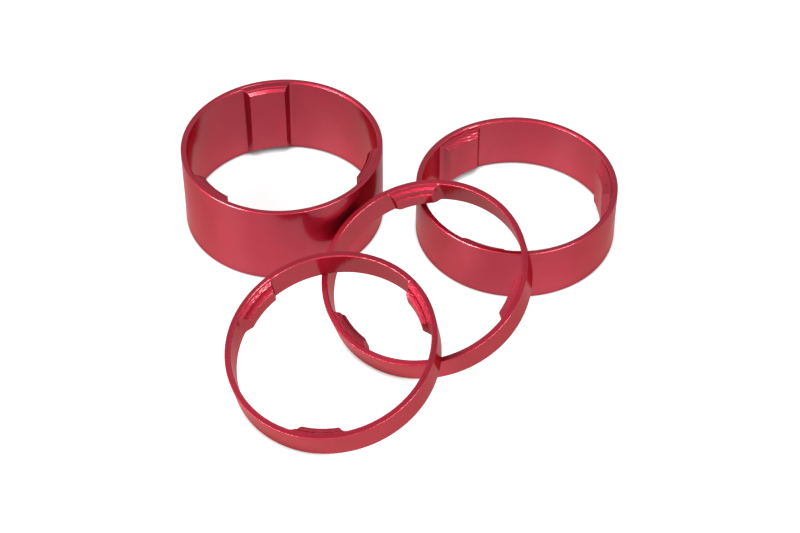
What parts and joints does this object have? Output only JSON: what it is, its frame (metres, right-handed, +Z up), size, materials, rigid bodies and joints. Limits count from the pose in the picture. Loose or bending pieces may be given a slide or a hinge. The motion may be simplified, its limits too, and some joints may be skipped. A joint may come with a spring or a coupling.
{
  "type": "spacer ring set",
  "caption": "Loose thin-walled spacer rings for a round shaft, with inner centring pads, in red anodised aluminium; the tall ones stand flat and the low ones lean on their neighbours.",
  "frame": {"origin": "middle of the whole set's outline, on the surface that the rings stand on", "axes": "+Z up, along the axes of the tall and medium rings; +X from the tall ring towards the medium ring; +Y towards the back, away from the two leaning rings"},
  "size_m": [0.0736, 0.0738, 0.0163],
  "materials": {
    "red_anodised": "satin dyed anodising over fine turned aluminium"
  },
  "bodies": {
    "medium": {"spacer_10mm": "red_anodised"},
    "tall": {"spacer_15mm": "red_anodised"},
    "resting": {"spacer_5mm_resting": "red_anodised"},
    "front": {"spacer_5mm_front": "red_anodised"}
  },
  "joints": [
    {"name": "tall_lift", "type": "slide", "parent": "medium", "child": "tall", "axis": [0, 0, 1], "range_m": [0, 0.025]},
    {"name": "resting_lift", "type": "slide", "parent": "medium", "child": "resting", "axis": [0, 0, 1], "range_m": [0, 0.025]},
    {"name": "front_lift", "type": "slide", "parent": "resting", "child": "front", "axis": [0, 0, 1], "range_m": [0, 0.025]}
  ]
}
